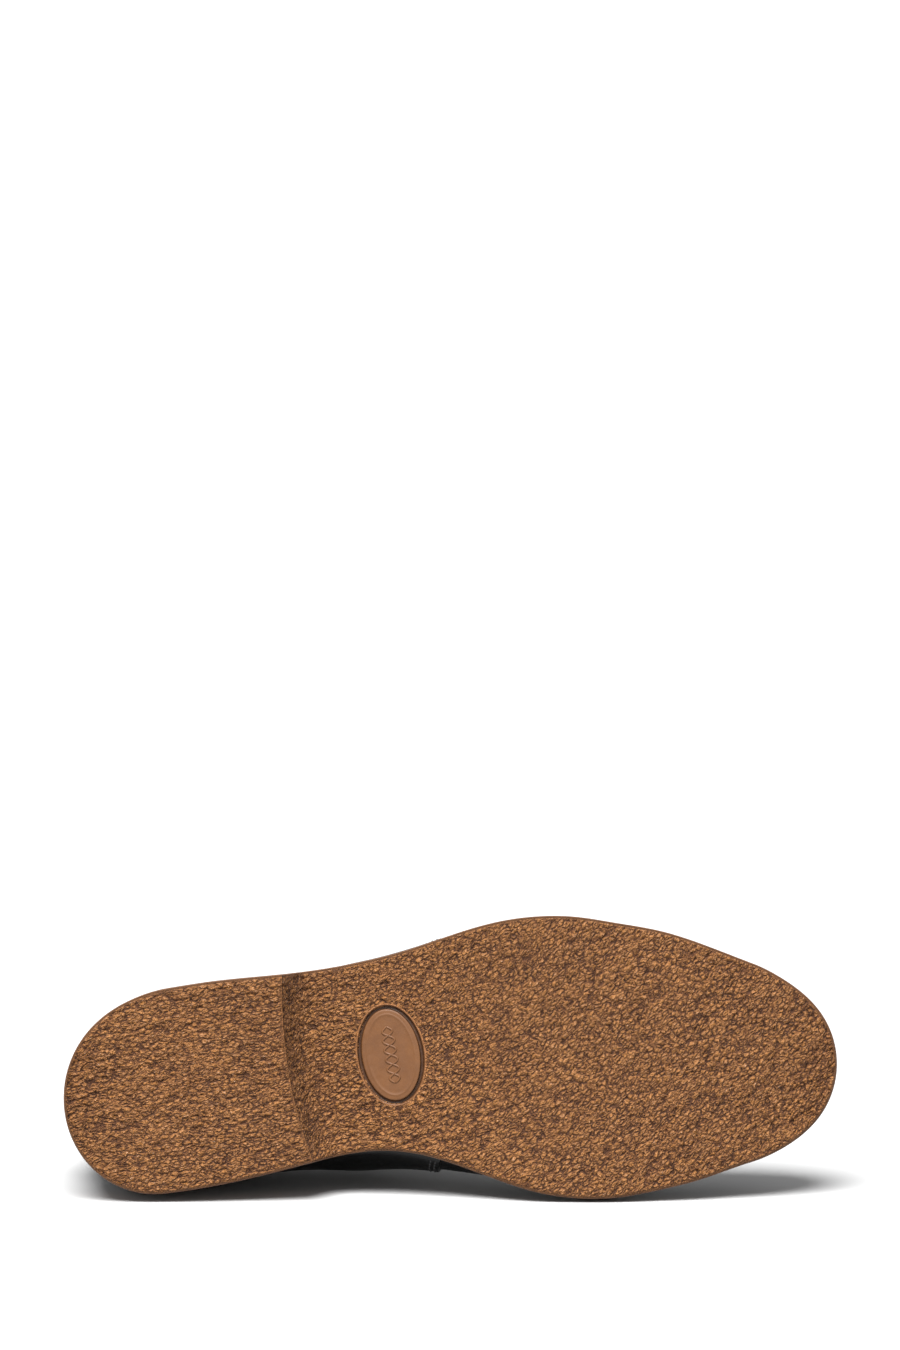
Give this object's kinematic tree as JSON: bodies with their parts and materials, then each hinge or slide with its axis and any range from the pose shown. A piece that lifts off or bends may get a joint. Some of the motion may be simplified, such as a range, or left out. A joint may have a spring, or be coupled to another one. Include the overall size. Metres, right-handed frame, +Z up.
{
  "type": "lace-up shoe",
  "caption": "Black leather lace-up dress shoe for the right foot, lying on its inner side, with a brown crepe-textured rubber sole, low heel and an oval medallion under the waist.",
  "frame": {"origin": "centre of the bounding box on the floor that the shoe lies on", "axes": "+X from heel to toe, +Z up off the floor, -Y the side that the tread faces"},
  "size_m": [0.3018, 0.1142, 0.1099],
  "materials": {
    "outsole": "brown crepe texture with a semi-gloss",
    "midsole": "smooth dark brown",
    "upper": "black, semi-gloss, fine grain",
    "tongue": "black, semi-gloss, fine grain",
    "insole": "tan, matt",
    "laces": "black waxed cotton",
    "eyelets": "black enamel"
  },
  "bodies": {
    "root": {"outsole": "outsole", "midsole": "midsole", "upper": "upper", "tongue": "tongue", "insole": "insole", "laces": "laces", "eyelet_medial_1": "eyelets", "eyelet_medial_2": "eyelets", "eyelet_medial_3": "eyelets", "eyelet_medial_4": "eyelets", "eyelet_lateral_1": "eyelets", "eyelet_lateral_2": "eyelets", "eyelet_lateral_3": "eyelets", "eyelet_lateral_4": "eyelets"}
  },
  "joints": []
}
